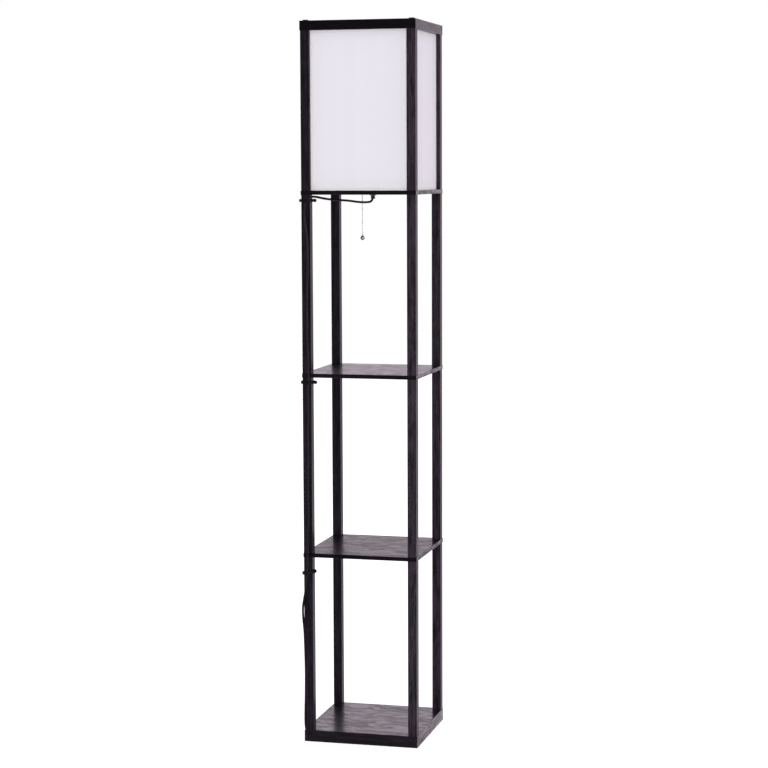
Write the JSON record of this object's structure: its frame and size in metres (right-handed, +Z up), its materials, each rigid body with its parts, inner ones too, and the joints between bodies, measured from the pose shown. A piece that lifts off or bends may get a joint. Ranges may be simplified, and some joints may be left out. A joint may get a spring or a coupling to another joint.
{
  "type": "floor lamp",
  "caption": "Tall square floor lamp with open shelves between four posts, a box shade of white panels at the top, a pull chain and a mains cord.",
  "frame": {"origin": "middle of the base's underside, on the floor", "axes": "+Z up, -Y towards the front, +X to the right as seen from the front"},
  "size_m": [0.2719, 0.3006, 1.6022],
  "materials": {
    "black_wood": "black wood-grain foil, satin with a slight gloss",
    "shade_plastic": "white translucent sheet, matt",
    "zinc_steel": "bright zinc plating",
    "black_steel": "black, satin",
    "dark_steel": "dark oxide, glossy",
    "brass": "spun brass, lacquered",
    "chain_nickel": "polished nickel plating",
    "black_bakelite": "black moulded insulator",
    "black_nylon": "black nylon",
    "bulb_metal": "plain aluminium",
    "contact_metal": "plain nickelled brass",
    "bulb_glass": "frosted white glass",
    "cord_pvc": "black PVC, satin"
  },
  "bodies": {
    "stand": {"base_board": "black_wood", "shelf_lower": "black_wood", "shelf_middle": "black_wood", "lamp_board": "black_wood", "post_lower_front_left": "black_wood", "post_lower_front_right": "black_wood", "post_lower_back_left": "black_wood", "post_lower_back_right": "black_wood", "post_middle_front_left": "black_wood", "post_middle_front_right": "black_wood", "post_middle_back_left": "black_wood", "post_middle_back_right": "black_wood", "post_upper_front_left": "black_wood", "post_upper_front_right": "black_wood", "post_upper_back_left": "black_wood", "post_upper_back_right": "black_wood", "shade_post_front_left": "black_wood", "shade_post_front_right": "black_wood", "shade_post_back_left": "black_wood", "shade_post_back_right": "black_wood", "top_rail_front": "black_wood", "top_rail_back": "black_wood", "top_rail_left": "black_wood", "top_rail_right": "black_wood", "shade_panel_front": "shade_plastic", "shade_panel_back": "shade_plastic", "shade_panel_left": "shade_plastic", "shade_panel_right": "shade_plastic", "base_bolts": "zinc_steel", "studs_shelf_lower": "zinc_steel", "studs_shelf_middle": "zinc_steel", "studs_lamp_board": "zinc_steel", "nipple_nuts": "zinc_steel", "lever_pin": "zinc_steel", "top_bolts": "black_steel", "threaded_nipple": "dark_steel", "holder_cap": "brass", "holder_shell": "brass", "screw_shell": "brass", "centre_contact": "brass", "switch_block": "black_bakelite", "cord_bushing": "black_nylon", "chain_grommet": "black_nylon", "cable_tie_upper": "black_nylon", "cable_tie_middle": "black_nylon", "cable_tie_lower": "black_nylon", "plug_blades": "contact_metal", "power_cord": "cord_pvc", "plug_strain_relief": "cord_pvc", "plug_body": "cord_pvc"},
    "lever": {"pull_lever": "brass"},
    "chain_upper": {"chain_top": "chain_nickel"},
    "chain_middle": {"chain_drop": "chain_nickel"},
    "chain_lower": {"chain_tail": "chain_nickel", "chain_ball": "chain_nickel"},
    "bulb_travel": {"bulb_contact": "contact_metal"},
    "bulb": {"bulb_cap": "bulb_metal", "bulb_glass": "bulb_glass"}
  },
  "joints": [
    {"name": "lever_pull", "type": "hinge", "parent": "stand", "child": "lever", "pos_m": [-0.008, 0, 1.252], "axis": [0, -1, 0], "range_deg": [0, 24], "stiffness_Nm_per_rad": 0.2, "springref_deg": -28.65},
    {"name": "chain_hang", "type": "hinge", "parent": "lever", "child": "chain_upper", "pos_m": [-0.0246, 0, 1.25553], "axis": [0, -1, 0], "range_deg": [-24.5, 0.5]},
    {"name": "chain_swing", "type": "hinge", "parent": "chain_upper", "child": "chain_middle", "pos_m": [-0.0246, 0, 1.2172], "axis": [0, 1, 0], "range_deg": [-30, 60]},
    {"name": "chain_tail_swing", "type": "hinge", "parent": "chain_middle", "child": "chain_lower", "pos_m": [-0.0246, 0, 1.1733], "axis": [1, 0, 0], "range_deg": [-60, 60]},
    {"name": "bulb_rise", "type": "slide", "parent": "stand", "child": "bulb_travel", "axis": [0, 0, 1], "range_m": [0, 0.0164]},
    {"name": "bulb_turn", "type": "hinge", "parent": "bulb_travel", "child": "bulb", "pos_m": [0, 0, 1.27], "axis": [0, 0, 1], "range_deg": [0, 1620]}
  ],
  "couplings": [
    {"joint": "chain_hang", "follows": "lever_pull", "ratio": -1},
    {"joint": "bulb_rise", "follows": "bulb_turn", "m_per_rad": 0.00057757}
  ]
}
